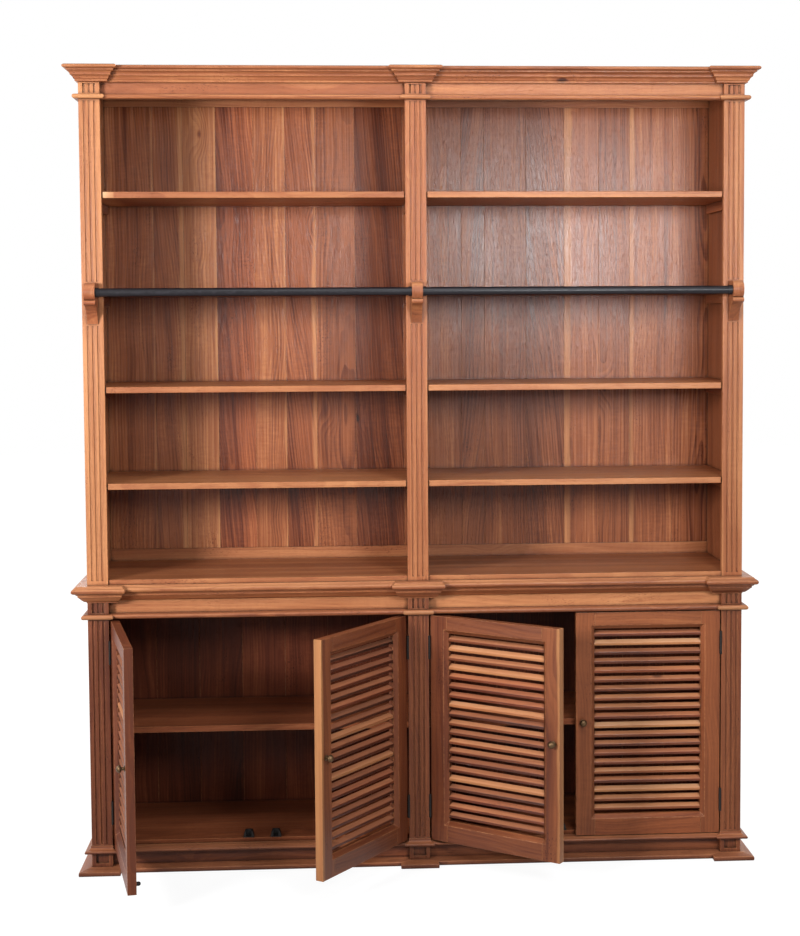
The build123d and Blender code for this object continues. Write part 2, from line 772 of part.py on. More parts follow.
# upper case
save(board(-divider / 2, divider / 2, upper_face, upper_inner_back, upper_floor_z, cornice_z),
     "upper_partition")
with BuildPart() as upper_floor:
    add(board(-inner, inner, front + nosing_setback, upper_inner_back, counter_top_z,
              upper_floor_z))
    with BuildSketch(Plane.XY.offset(counter_top_z)):
        with Locations(*[(x, front + upper_relief / 2) for x in pilaster_xs]):
            Rectangle(pilaster_width, upper_relief)
    extrude(amount=upper_floor_board, mode=Mode.SUBTRACT)
save(upper_floor.part, "upper_floor")
save(board(-inner, inner, upper_face + facing, upper_inner_back, cornice_z, carcass_top),
     "upper_top")
for number, z in enumerate(shelf_zs, start=1):
    save(solids_of(shelf(-1, z), shelf(1, z)), f"upper_shelves_{number}")
upper_cleats = [piece for z in shelf_zs
                for piece in bay_cleats(upper_face + cleat_front, upper_inner_back - cleat_back, z)]
base_cleats = bay_cleats(front + base_shelf_setback + cleat_front, cupboard_back - cleat_back,
                         base_shelf_top - shelf_board)
save(solids_of(*upper_cleats, *base_cleats), "shelf_cleats")
low_rail_top = counter_top_z + bottom_rail_height
high_rail_bottom = carcass_top - top_rail_height
save(solids_of(grooved_rail(counter_top_z, low_rail_top, low_rail_top - groove_depth,
                            low_rail_top),
               grooved_rail(high_rail_bottom, carcass_top, high_rail_bottom,
                            high_rail_bottom + groove_depth)), "upper_back_rails")
save(planks(plank_widths, upper_inner_back + plank_inset,
            upper_inner_back + plank_inset + back_plank, low_rail_top - groove_depth,
            high_rail_bottom + groove_depth), "upper_back_planks")
upper_flutes = [
    (counter_top_z + flute_foot, rod_height - bracket_drop - bracket_plain),
    (rod_height + bracket_crown + bracket_plain, upper_bead_z - flute_margin)]
save(solids_of(*[fluted(x, upper_relief, counter_top_z, upper_pilaster_height, upper_flutes)
                 for x in pilaster_xs]), "upper_pilasters")
upper_bead = half_round(upper_bead_z, bead_height, upper_bead_reach)
save(planted(breakfront(upper_bead, bead_relief, bead_splay, upper_face, upper_back),
             upper_face, []), "upper_bead")
save(either_side(divider / 2, inner, upper_face, upper_face + facing, upper_frieze_z,
                 carcass_top), "upper_frieze")
save(solids_of(*[sunk_block(x, upper_relief, upper_frieze_z, upper_frieze_height,
                            upper_frieze_z + sunk_margin, cornice_z - sunk_margin,
                            frieze_sinking, (-1, 0, 1)) for x in pilaster_xs]),
     "upper_frieze_blocks")
cornice_profile = sized(cornice_shape, cornice_reach, cornice_z, cornice_height)
save(planted(breakfront(cornice_profile, upper_relief, cornice_splay, upper_face, upper_back,
                        cornice_end, corner_end_extra), upper_face, []), "cornice")

# ladder rail
rod_sides = ((1,), (-1, 1), (-1,))
save(solids_of(*[rail_bracket(x, sides) for x, sides in zip(pilaster_xs, rod_sides)]),
     "rail_brackets")
rod_start = bracket_width / 2 - rod_socket
rods = [rod(-corner_x + rod_start, -rod_start), rod(rod_start, corner_x - rod_start)]
save(solids_of(*rods), "ladder_rails")
collar_xs = (-corner_x + bracket_width / 2, -bracket_width / 2 - collar_length,
             bracket_width / 2, corner_x - bracket_width / 2 - collar_length)
save(solids_of(*[collar(x) for x in collar_xs]), "rail_collars")

# hinges and catches on the case
frame_leaves = [hinge_half(z, -1, frame_knuckles, True) for z in hinge_zs]
save(solids_of(*[Location((hinge_xs[door], hinge_y, 0)) * hand(leaf, door)
                 for door in range(4) for leaf in frame_leaves]), "frame_hinge_leaves")
save(solids_of(*[floor_catch(hinge_xs[door] + (striker_u if door % 2 == 0 else -striker_u))
                 for door in range(4)]), "floor_catches")

# doors
door_leaves = [hinge_half(z, 1, door_knuckles, False) for z in hinge_zs]
for door in range(4):
    name = f"door_{door + 1}"
    save(hang(door_stiles.part, door), f"{name}_stiles")
    save(hang(door_rails.part, door), f"{name}_rails")
    save(hang(door_louvres, door), f"{name}_louvres")
    save(hang(door_knob.part, door), f"{name}_knob")
    save(solids_of(*[hang(piece, door) for piece in (*door_leaves, striker.part)]),
         f"{name}_ironwork")
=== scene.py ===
"""Looks of the library bookcase: oiled teak boards, black iron and brass, in a white studio.

Metres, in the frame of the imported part: the origin is on the floor, the front faces -Y.
"""
import json
import math
import random

import bmesh
import bpy
from mathutils import Matrix, Vector

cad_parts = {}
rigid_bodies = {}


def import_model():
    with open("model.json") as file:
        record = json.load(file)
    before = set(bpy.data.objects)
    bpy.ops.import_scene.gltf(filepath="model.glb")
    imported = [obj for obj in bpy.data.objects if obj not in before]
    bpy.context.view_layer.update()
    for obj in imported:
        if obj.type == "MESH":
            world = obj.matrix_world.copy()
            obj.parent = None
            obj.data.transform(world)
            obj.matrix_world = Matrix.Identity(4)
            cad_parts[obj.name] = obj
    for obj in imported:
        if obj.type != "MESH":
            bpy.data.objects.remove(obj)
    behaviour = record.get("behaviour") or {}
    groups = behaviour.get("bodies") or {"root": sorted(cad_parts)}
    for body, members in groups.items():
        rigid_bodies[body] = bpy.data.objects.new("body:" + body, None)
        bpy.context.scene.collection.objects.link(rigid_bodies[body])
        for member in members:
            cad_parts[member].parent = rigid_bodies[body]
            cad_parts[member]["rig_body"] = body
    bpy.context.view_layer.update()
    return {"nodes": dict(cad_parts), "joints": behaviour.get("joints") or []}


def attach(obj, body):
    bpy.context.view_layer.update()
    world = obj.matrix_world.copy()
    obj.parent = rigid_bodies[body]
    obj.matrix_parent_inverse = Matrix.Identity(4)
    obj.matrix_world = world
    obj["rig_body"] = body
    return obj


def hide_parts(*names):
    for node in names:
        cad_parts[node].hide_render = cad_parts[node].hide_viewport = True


# ---- Boards ----------------------------------------------------------------------------
SAME_PLACE = 1e-6                   # CAD corners closer than this are one point
FLAT_ANGLE = math.radians(0.5)      # faces that meet at less than this become one
ARRIS_ANGLE = math.radians(35)      # edges sharper than this are rounded off
SMOOTH_ANGLE = math.radians(38)     # edges sharper than this are shaded sharp
SHORTEST_ARRIS = 0.006              # shorter edges aren't rounded off
ARRIS = 0.0009                      # how far a board's sharp edges are rounded off
FAR = 1.0                           # stands for "no sapwood here"
HEART_ACROSS = (-0.14, 0.14)        # where a heart may lie, from the board's middle across the grain
HEART_BELOW = (0.015, 0.12)         # and below that middle
STEM_LENGTH = 60                    # boards start anywhere in this length of grain

# ---- Camera, fitted to the edges of the cabinet in the photograph ----------------------
CAMERA_PLACE = (-0.2348, -5.2234, 1.6754)
CAMERA_YAW = math.radians(3.3726)
CAMERA_PITCH = math.radians(-3.5972)
CAMERA_ROLL = math.radians(-0.3085)
SENSOR_WIDTH = 36.0                 # millimetres, as the lens
LENS = 75.60
SHIFT_X, SHIFT_Y = -0.0466, -0.0625


# ---- Wood colours ----------------------------------------------------------------------
def srgb(text):
    """A colour written as six hex digits, as the linear colour that shaders take."""
    channels = [int(text[i:i + 2], 16) / 255 for i in (0, 2, 4)]
    linear = [c / 12.92 if c <= 0.04045 else ((c + 0.055) / 1.055) ** 2.4 for c in channels]
    return (*linear, 1.0)


WHITE = (1, 1, 1, 1)
VEIN = srgb("26100a")
DARK = srgb("5f2f1c")
MIDDLE = srgb("955736")
LIGHT = srgb("c48557")
SAPWOOD = srgb("e0b388")
STRIPE = srgb("d29c6a")
# Painted shade in corners and crevices, together with grime.
SHADE_AND_GRIME = srgb("2a140c")
# Painted highlight for upper faces.
TOP_HIGHLIGHT = srgb("bf8a6c")
WARM = srgb("ffb294")
COOL = srgb("d8d0ca")
TONE_COLOURS = ((0.0, VEIN), (0.26, DARK), (0.50, MIDDLE), (0.74, LIGHT), (1.0, SAPWOOD))

# ---- Wood pattern, in repeats per metre along the grain and across it ------------------
STEM_DRIFT = (1.5, 3.0)
RING_WANDER = (3.0, 24.0)
KNOTS = (2.5, 5.0)
STREAKS = (1.1, 70.0)
VEINS = (0.7, 42.0)
FIBRES = (14.0, 820.0)
PORES = (55.0, 1500.0)
CLOUDS = (4.5, 13.0)
HAIRS = (1.6, 210.0)
RIPPLES = (130.0, 28.0)
FLECKS = (90.0, 60.0)
PITS = (150.0, 380.0)
PITTED_PATCHES = (4.0, 12.0)
SAP_BORDER = (4.0, 7.0)
SAP_DEPTH = (1.3, 30.0)

DRIFT_REACH = 0.10                  # how far the stem's heart drifts
RINGS = 105.0                       # growth rings per metre from the heart
RING_WAVES = 1.6                    # rings that they wander by
RING_BULGE = 2.6                    # rings that a knot pushes aside
BANDS = 30.0                        # repeats of the colour bands per metre from the heart
BAND_CHANGE = 0.5                   # and per metre along the grain
KNOT_BEND = 0.24                    # how near a knot rings bend, in the knots' own pattern
KNOT_EDGE, KNOT_CORE = 0.055, 0.02  # and where its dark spot starts and is darkest
BORDER_WAVE = 0.022                 # how far the border of the sapwood wanders
CORNER_REACH = 0.014                # how far from a corner the painted shade, with old oil and dust, reaches
GRAIN_HEIGHT = 0.00035              # relief of fibres and pores
FACE_UNEVENNESS = 0.0012            # relief of the broad clouds


# ---- Node trees ------------------------------------------------------------------------
class Tree:
    """Short ways to add and join the nodes of one shader tree."""

    def __init__(self, tree):
        self.tree = tree

    def feed(self, socket, value):
        """Joins a socket to another node's output, or sets it to a constant."""
        if isinstance(value, bpy.types.NodeSocket):
            self.tree.links.new(value, socket)
        else:
            socket.default_value = value

    def add(self, kind, settings=None, inputs=None):
        """A new node, with its settings and what goes into its sockets."""
        node = self.tree.nodes.new("ShaderNode" + kind)
        for name, value in (settings or {}).items():
            setattr(node, name, value)
        for name, value in (inputs or {}).items():
            self.feed(node.inputs[name], value)
        return node

    def math(self, operation, *values, clamp=False):
        node = self.add("Math", {"operation": operation, "use_clamp": clamp})
        for i, value in enumerate(values):
            self.feed(node.inputs[i], value)
        return node.outputs[0]

    def vector_math(self, operation, *values):
        node = self.add("VectorMath", {"operation": operation})
        for i, value in enumerate(values):
            self.feed(node.inputs[i], value)
        return node.outputs["Value" if operation == "LENGTH" else "Vector"]

    def attribute(self, name, output="Fac"):
        return self.add("Attribute", {"attribute_name": name}).outputs[output]

    def axes(self, vector):
        return self.add("SeparateXYZ", None, {0: vector}).outputs

    def stretched(self, place, along, across):
        """Coordinates scaled by one number along X and by another across it."""
        return self.vector_math("MULTIPLY", place, (along, across, across))

    def noise(self, place, detail=2.0, roughness=0.5):
        inputs = {"Vector": place, "Scale": 1.0, "Detail": detail, "Roughness": roughness}
        return self.add("TexNoise", None, inputs).outputs["Fac"]

    def ramp(self, value, low, high, to_low=0.0, to_high=1.0):
        """value's range from low to high, smoothly taken to another range."""
        node = self.add("MapRange", {"interpolation_type": "SMOOTHSTEP"})
        for i, number in enumerate((value, low, high, to_low, to_high)):
            self.feed(node.inputs[i], number)
        return node.outputs[0]

    def mix(self, share, first, second, blend="MIX"):
        node = self.add("Mix", {"data_type": "RGBA", "blend_type": blend})
        self.feed(node.inputs["Factor"], share)
        self.feed(node.inputs[6], first)
        self.feed(node.inputs[7], second)
        return node.outputs[2]

    def colour_steps(self, value, steps):
        """A colour for each value, read between (place, colour) steps."""
        node = self.add("ValToRGB")
        while len(node.color_ramp.elements) < len(steps):
            node.color_ramp.elements.new(1.0)
        for element, (place, colour) in zip(node.color_ramp.elements, steps):
            element.position = place
            element.color = colour
        self.feed(node.inputs["Fac"], value)
        return node.outputs["Color"]

    def bump(self, height, distance, normal=None):
        inputs = {"Height": height, "Distance": distance, "Strength": 1.0}
        if normal is not None:
            inputs["Normal"] = normal
        return self.add("Bump", None, inputs).outputs["Normal"]


class Teak(Tree):
    """Oiled teak in a board's own grain coordinates: x along the grain, the heart at y = z = 0."""

    def __init__(self, group):
        super().__init__(group)
        self.given = group.nodes.new("NodeGroupInput").outputs
        self.grain = self.attribute("grain", "Vector")
        self.stem = self.attribute("tree")
        self.sap = self.axes(self.attribute("sap", "Vector"))
        self.facing_up = self.axes(self.add("NewGeometry").outputs["True Normal"])["Z"]
        self.from_heart = self.distance_from_heart()
        self.from_knot = self.distance_from_knot()
        self.streaks = self.pattern(STREAKS, 3.0, 0.6)
        self.fibres = self.pattern(FIBRES, 2.0, 0.6)
        self.pores = self.ramp(self.pattern(PORES, 1.0), 0.63, 0.72)
        self.clouds = self.pattern(CLOUDS, 3.0)
        self.hairs = self.pattern(HAIRS, 2.0, 0.7)

    def pattern(self, scale, detail=2.0, roughness=0.5):
        """Noise along the grain at one of the scales above."""
        return self.noise(self.stretched(self.grain, *scale), detail, roughness)

    def distance_from_heart(self):
        """How far it is to the heart, which drifts slowly along the stem."""
        place = self.stretched(self.grain, *STEM_DRIFT)
        drift = self.add("TexNoise", None, {"Vector": place, "Scale": 1.0, "Detail": 2.0}).outputs["Color"]
        drifted = self.vector_math("MULTIPLY_ADD", drift, (0.0, DRIFT_REACH, DRIFT_REACH), self.grain)
        return self.vector_math("LENGTH", self.vector_math("MULTIPLY", drifted, (0.0, 1.0, 1.0)))

    def distance_from_knot(self):
        """How far it is to the next knot, in the knots' own pattern."""
        place = self.stretched(self.grain, *KNOTS)
        return self.add("TexVoronoi", {"feature": "F1"}, {"Vector": place, "Scale": 1.0}).outputs["Distance"]

    def rings(self):
        """Growth rings, darkest at their outer edge, each of its own strength and bent round knots."""
        bulge = self.ramp(self.from_knot, KNOT_BEND, 0.0, 0.0, RING_BULGE)
        wander = self.math("MULTIPLY_ADD", self.pattern(RING_WANDER), RING_WAVES, bulge)
        place = self.math("MULTIPLY_ADD", self.from_heart, RINGS, wander)
        within = self.math("FRACT", place)
        late_wood = self.math("MULTIPLY", self.ramp(within, 0.15, 0.85), self.ramp(within, 1.0, 0.93))
        number = self.add("CombineXYZ", None, {0: self.math("FLOOR", place), 1: self.stem}).outputs[0]
        luck = self.add("TexWhiteNoise", None, {"Vector": number}).outputs["Value"]
        strength = self.math("MULTIPLY_ADD", self.math("POWER", luck, 2.0), 1.3, 0.25)
        return self.math("MULTIPLY", self.math("SUBTRACT", late_wood, 0.4), strength)

    def bands(self):
        """Broad bands of colour that run with the rings."""
        place = self.add("CombineXYZ", None, {
            0: self.math("MULTIPLY", self.from_heart, BANDS),
            1: self.math("MULTIPLY", self.axes(self.grain)["X"], BAND_CHANGE), 2: self.stem})
        return self.noise(place.outputs[0], 2.0, 0.6)

    def pits(self):
        """Small dark pits, in patches."""
        patches = self.ramp(self.pattern(PITTED_PATCHES), 0.60, 0.68)
        return self.math("MULTIPLY", self.ramp(self.pattern(PITS, 1.0), 0.60, 0.70), patches)

    def shade(self):
        """The wood's tone, 0 dark to 1 pale: the board's own tone, every mark on it, and painted light from
        above.
        """
        figure = self.given["Figure"]
        lines = self.math("MULTIPLY", figure, self.given["Lines"])
        curly = self.math("MULTIPLY", lines, self.ramp(self.clouds, 0.40, 0.62))
        veins = self.ramp(self.pattern(VEINS), 0.62, 0.76)
        shade = self.math("ADD", self.attribute("tone"), self.given["Base Tone"])
        # Each mark, the value at which it changes nothing, how much paler it makes the wood, and its share.
        for mark, middle, strength, share in (
                (self.rings(), 0.0, -0.17, lines), (self.streaks, 0.5, 0.38, lines),
                (self.hairs, 0.5, 0.42, lines), (veins, 0.0, -0.16, lines),
                (self.bands(), 0.5, 0.62, figure), (self.fibres, 0.5, 0.16, figure),
                (self.clouds, 0.5, 0.22, figure), (self.pattern(RIPPLES), 0.5, 0.20, curly)):
            scaled = self.math("MULTIPLY", self.math("SUBTRACT", mark, middle), strength)
            shade = self.math("MULTIPLY_ADD", scaled, share, shade)
        shade = self.math("MULTIPLY_ADD", self.pores, -0.05, shade)
        shade = self.math("MULTIPLY_ADD", self.pits(), -0.26, shade)
        shade = self.math("ADD", self.ramp(self.from_knot, KNOT_EDGE, KNOT_CORE, 0.0, -0.45), shade)
        # Painted light: faces turned up are made paler and faces turned down darker, as light from above
        # would make them.
        light_from_above = self.ramp(self.facing_up, 0.05, 0.6, -0.4, 0.6)
        return self.math("MULTIPLY_ADD", light_from_above, self.given["Painted Top Light"], shade)

    def with_sapwood(self, colour):
        """Pale wood at a board's edges, with a wavy border, and at its start."""
        border = self.math("MULTIPLY", self.math("SUBTRACT", self.pattern(SAP_BORDER), 0.5), BORDER_WAVE)
        nearest = self.math("MINIMUM", self.math("MINIMUM", self.sap["X"], self.sap["Y"]), self.sap["Z"])
        depth = self.ramp(self.pattern(SAP_DEPTH), 0.3, 0.7, 0.3, 0.65)
        inside = self.ramp(self.math("ADD", nearest, border), -0.005, 0.004, 1.0, 0.0)
        sap_colour = self.mix(self.math("MULTIPLY_ADD", self.streaks, 1.6, -0.3, clamp=True), LIGHT, STRIPE)
        colour = self.mix(self.math("MULTIPLY", inside, depth), colour, sap_colour)
        from_start = self.math("ADD", self.sap["Z"], self.math("MULTIPLY", self.streaks, 0.03))
        return self.mix(self.ramp(from_start, -0.03, 0.02, 0.8, 0.0), colour, SAPWOOD)

    def tinted(self, colour):
        """Redder and greyer boards, and the piece's own tint."""
        hue = self.attribute("hue")
        warmer = self.mix(self.ramp(hue, 0.0, 1.0, 0.0, 0.55), WHITE, WARM)
        cooler = self.mix(self.ramp(hue, 0.0, -1.0, 0.0, 0.55), WHITE, COOL)
        for tint in (warmer, cooler, self.given["Tint"]):
            colour = self.mix(1.0, colour, tint, "MULTIPLY")
        return colour

    def worn(self, colour):
        """Edges worn pale and painted paler as a highlight; a painted highlight on upper faces; painted
        shade, with some grime, in corners.
        """
        # Wear and painted highlight: the rounded edges are made paler in flecks.
        flecks = self.ramp(self.pattern(FLECKS), 0.35, 0.65, 0.1, 0.5)
        colour = self.mix(self.math("MULTIPLY", self.attribute("arris"), flecks), colour, LIGHT)
        # Painted highlight: upper faces are mixed towards a pale tone, as a sheen from above.
        top_highlight_share = self.math("MULTIPLY", self.ramp(self.facing_up, 0.15, 0.6), self.given["Painted Top Light"])
        colour = self.mix(top_highlight_share, colour, TOP_HIGHLIGHT)
        # Painted shade: corners and crevices are darkened by how little open air they see, also standing for
        # old oil and dust.
        open_air = self.add("AmbientOcclusion", {"samples": 6}, {"Distance": CORNER_REACH}).outputs["AO"]
        return self.mix(self.ramp(open_air, 0.84, 0.40, 0.0, 0.72), colour, SHADE_AND_GRIME)

    def roughness(self):
        """The piece's polish, duller in pores and uneven over clouds and hairs."""
        rough = self.math("MULTIPLY_ADD", self.math("SUBTRACT", self.clouds, 0.5), 0.16, self.given["Polish"])
        rough = self.math("MULTIPLY_ADD", self.math("SUBTRACT", self.hairs, 0.5), 0.30, rough)
        return self.math("MULTIPLY_ADD", self.pores, 0.15, rough, clamp=True)

    def normal(self):
        """Fine grain and pores, on slightly uneven faces."""
        raised = self.math("MULTIPLY_ADD", self.streaks, 0.6, self.fibres)
        fine = self.bump(self.math("MULTIPLY_ADD", self.pores, -0.8, raised), GRAIN_HEIGHT)
        return self.bump(self.clouds, FACE_UNEVENNESS, fine)


def teak_group():
    """The node group that all the woods share."""
    group = bpy.data.node_groups.new("oiled_teak", "ShaderNodeTree")
    for name in ("Base Tone", "Figure", "Lines", "Painted Top Light", "Polish"):
        group.interface.new_socket(name, in_out="INPUT", socket_type="NodeSocketFloat")
    group.interface.new_socket("Tint", in_out="INPUT", socket_type="NodeSocketColor")
    for name, kind in (("Color", "NodeSocketColor"), ("Roughness", "NodeSocketFloat"),
                       ("Normal", "NodeSocketVector")):
        group.interface.new_socket(name, in_out="OUTPUT", socket_type=kind)
    teak = Teak(group)
    result = group.nodes.new("NodeGroupOutput").inputs
    plain = teak.colour_steps(teak.shade(), TONE_COLOURS)
    teak.feed(result["Color"], teak.worn(teak.tinted(teak.with_sapwood(plain))))
    teak.feed(result["Roughness"], teak.roughness())
    teak.feed(result["Normal"], teak.normal())
    return group


def new_material(name):
    """An empty material and the tree of its nodes."""
    material = bpy.data.materials.new(name)
    material.use_nodes = True
    t = Tree(material.node_tree)
    t.tree.nodes.clear()
    return material, t


def wood(name, group, base_tone, figure, lines, painted_top_light=0.0, tint="ffffff", polish=0.42, shine=0.25):
    """Teak for one kind of piece: how marked its figure and lines are, how much painted top light it gets,
    and how polished it is.
    """
    material, t = new_material(name)
    teak = t.add("Group", {"node_tree": group},
                 {"Base Tone": base_tone, "Figure": figure, "Lines": lines, "Painted Top Light": painted_top_light,
                  "Tint": srgb(tint), "Polish": polish})
    shader = t.add("BsdfPrincipled", None, {
        "Base Color": teak.outputs["Color"], "Roughness": teak.outputs["Roughness"],
        "Normal": teak.outputs["Normal"], "Metallic": 0.0, "Specular IOR Level": shine,
        "Coat Weight": 0.05, "Coat Roughness": 0.3})
    t.add("OutputMaterial", None, {"Surface": shader.outputs[0]})
    return material


def metal(name, colour, worn_colour, metallic, roughness, bump, speck_size, shine=0.5):
    """Lacquered or plain metal, with specks where the surface is worn."""
    material, t = new_material(name)
    place = t.add("TexCoord").outputs["Object"]
    fine = t.noise(t.stretched(place, 1.0 / speck_size, 1.0 / speck_size), 3.0)
    worn = t.ramp(fine, 0.52, 0.70)
    shader = t.add("BsdfPrincipled", None, {
        "Base Color": t.mix(worn, srgb(colour), srgb(worn_colour)), "Metallic": metallic,
        "Specular IOR Level": shine, "Normal": t.bump(fine, bump),
        "Roughness": t.ramp(fine, 0.2, 0.8, roughness - 0.08, roughness + 0.12)})
    t.add("OutputMaterial", None, {"Surface": shader.outputs[0]})
    return material


# ---- From CAD solids to boards ---------------------------------------------------------
def shells(mesh):
    """The closed solids of a CAD mesh, in file order, each as a list of its faces' corner places."""
    found, faces, unmatched = [], [], set()
    for polygon in mesh.polygons:
        corners = [tuple(round(c / SAME_PLACE) for c in mesh.vertices[i].co) for i in polygon.vertices]
        faces.append(corners)
        for start, end in zip(corners, corners[1:] + corners[:1]):
            if (end, start) in unmatched:
                unmatched.remove((end, start))
            elif start != end:
                unmatched.add((start, end))
        if not unmatched:
            found.append(faces)
            faces = []
    if faces:
        found.append(faces)
    return found


def dress(shell, arris):
    """One solid with its flat faces whole again and its long sharp edges rounded off."""
    work = bmesh.new()
    made = {}
    for corners in shell:
        for corner in corners:
            if corner not in made:
                made[corner] = work.verts.new([c * SAME_PLACE for c in corner])
        if len(set(corners)) > 2:
            work.faces.new([made[corner] for corner in corners])
    bmesh.ops.dissolve_limit(work, angle_limit=FLAT_ANGLE, verts=work.verts, edges=work.edges)
    # The rounded edges' faces, which the teak paints paler: wear, and a painted highlight.
    worn = work.faces.layers.float.new("arris")
    sharp = [e for e in work.edges if len(e.link_faces) == 2
             and e.calc_length() > SHORTEST_ARRIS and e.calc_face_angle() > ARRIS_ANGLE]
    if arris and sharp:
        eased = bmesh.ops.bevel(work, geom=sharp, offset=arris, offset_type="OFFSET", segments=2,
                                profile=0.5, affect="EDGES", clamp_overlap=False)
        for face in eased["faces"]:
            face[worn] = 1.0
    work.verts.index_update()
    return work


class Board:
    """What one board's wood looks like."""

    def __init__(self, tone, hue=0.0, sap_low=0.0, sap_high=0.0, heart=None, grain=None,
                 rise=0.0, lean=0.0, pale_start=0.0):
        self.tone = tone                # 0 dark to 1 pale
        self.hue = hue                  # -1 greyer to 1 redder
        self.sap_low = sap_low          # width of sapwood at the low edge across the grain
        self.sap_high = sap_high        # and at the high edge
        self.heart = heart              # where the heart lies, across and below the board's middle
        self.grain = grain              # 0, 1 or 2 for grain along X, Y or Z
        self.rise = rise                # how much paler the high edge is than the low edge
        self.lean = lean                # how far the grain drifts to the low edge, per metre of board
        self.pale_start = pale_start    # length of sapwood at the board's start


class Cut:
    """How one board was cut from the stem: its box, its grain and where the heart lay."""

    def __init__(self, board, places, chance):
        self.board = board
        self.low = [min(p[i] for p in places) for i in range(3)]
        self.high = [max(p[i] for p in places) for i in range(3)]
        self.middle = [(a + b) / 2 for a, b in zip(self.low, self.high)]
        self.along, self.across, self.through = self.axes()
        self.heart = board.heart or (chance.uniform(*HEART_ACROSS), chance.uniform(*HEART_BELOW))
        self.stem = chance.uniform(0, STEM_LENGTH)

    def axes(self):
        """Axis numbers along the grain, across it and through the board."""
        order = sorted(range(3), key=lambda i: self.low[i] - self.high[i])
        if self.board.grain is not None:
            order.remove(self.board.grain)
            order.insert(0, self.board.grain)
        return order

    def grain_at(self, place):
        """A place in grain coordinates, which the teak's nodes read."""
        from_middle = [p - m for p, m in zip(place, self.middle)]
        leant = self.board.lean * from_middle[self.along]
        return (place[self.along] + self.stem, from_middle[self.across] - self.heart[0] + leant,
                from_middle[self.through] - self.heart[1])

    def tone_at(self, place):
        width = self.high[self.across] - self.low[self.across]
        return self.board.tone + self.board.rise * (place[self.across] - self.middle[self.across]) / width

    def sap_at(self, place):
        """How far a place lies outside the sapwood of the low edge, the high edge and the start."""
        board = self.board
        from_low = place[self.across] - self.low[self.across]
        from_high = self.high[self.across] - place[self.across]
        from_start = place[self.along] - self.low[self.along]
        return (from_low - board.sap_low if board.sap_low else FAR,
                from_high - board.sap_high if board.sap_high else FAR,
                from_start - board.pale_start if board.pale_start else FAR)


def wooden(node, finish, boards, chance, closed=Matrix.Identity(4), arris=ARRIS):
    """A node's boards with their grain, tones and rounded edges, standing for the CAD node.

    closed is the turn that closes the door a board belongs to, so that its grain follows its sides.
    """
    material, slot = finish
    cad = frame["nodes"][node]
    points, faces, worn = [], [], []
    values = {"grain": [], "tone": [], "hue": [], "sap": [], "tree": []}
    for number, shell in enumerate(shells(cad.data)):
        board = boards(number)
        work = dress(shell, arris)
        first = len(points)
        places = [closed @ v.co for v in work.verts]
        cut = Cut(board, places, chance)
        for vertex, place in zip(work.verts, places):
            points.append(vertex.co.copy())
            values["grain"].append(cut.grain_at(place))
            values["tone"].append(cut.tone_at(place))
            values["hue"].append(board.hue)
            values["sap"].append(cut.sap_at(place))
            values["tree"].append(cut.stem)
        layer = work.faces.layers.float["arris"]
        for face in work.faces:
            faces.append([first + v.index for v in face.verts])
            worn.append(face[layer])
        work.free()
    mesh = bpy.data.meshes.new(node + "_boards")
    mesh.from_pydata(points, [], faces)
    for name, numbers in values.items():
        is_vector = isinstance(numbers[0], tuple)
        layer = mesh.attributes.new(name, "FLOAT_VECTOR" if is_vector else "FLOAT", "POINT")
        flat = [c for row in numbers for c in row] if is_vector else numbers
        layer.data.foreach_set("vector" if is_vector else "value", flat)
    # The rounded edges, which the teak paints paler as wear and as a painted highlight.
    mesh.attributes.new("arris", "FLOAT", "FACE").data.foreach_set("value", worn)
    mesh.materials.append(material)
    mesh.shade_smooth()
    mesh.set_sharp_from_angle(angle=SMOOTH_ANGLE)
    piece = bpy.data.objects.new(node + "_wood", mesh)
    bpy.context.scene.collection.objects.link(piece)
    weighted = piece.modifiers.new("flat_faces_stay_flat", "WEIGHTED_NORMAL")
    weighted.keep_sharp = True
    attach(piece, cad["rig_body"])
    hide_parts(node)


def even(chance, tone, spread=0.05, hue=0.0, hue_spread=0.35):
    """Boards of about one tone."""
    def board(number):
        return Board(tone + chance.uniform(-spread, spread), hue + chance.uniform(-hue_spread, hue_spread))
    return board


def listed(*boards):
    """Boards described one by one, in the order of the node's solids."""
    return lambda number: boards[number % len(boards)]


def repaint(node, material):
    """A better finish on a CAD node that stays."""
    for place in frame["nodes"][node].material_slots:
        place.material = material


# ---- The object ------------------------------------------------------------------------
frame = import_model()

# A wood, and the name of a slot, which nothing reads.
teak = teak_group()
CASE = wood("case_teak", teak, 0.05, 0.65, 0.55), "case_wood"
# Mouldings and slats get painted top light: upper faces paler, with a painted highlight, and lower faces
# darker.
MOULDING = wood("moulding_teak", teak, 0.02, 0.85, 0.6, painted_top_light=0.12), "moulding_wood"
PLANK = wood("plank_teak", teak, -0.03, 0.62, 1.3, polish=0.27, shine=0.3), "plank_wood"
INSIDE = wood("inside_teak", teak, -0.04, 0.6, 0.8, tint="f6eef2", shine=0.12), "inside_wood"
DOOR = wood("door_teak", teak, 0.0, 0.7, 0.4, tint="fffaf0"), "door_wood"
LOUVRE = (wood("louvre_teak", teak, 0.0, 0.6, 0.8, painted_top_light=0.26, tint="fbf3ee", polish=0.34, shine=0.28),
          "louvre_wood")
IRON = metal("black_iron", "120f0e", "2a211b", 0.0, 0.52, 0.0002, 0.004, shine=0.25)
RAIL = metal("black_rail", "100c11", "19151b", 0.0, 0.36, 0.00005, 0.01, shine=0.28)
BRASS = metal("aged_brass", "5e4934", "33251a", 1.0, 0.42, 0.0002, 0.003)

SHELVES = 4                         # rows of shelves, numbered from the highest
PALE_SHELF_END = 0.08               # sapwood at the left end of the highest left-hand shelf


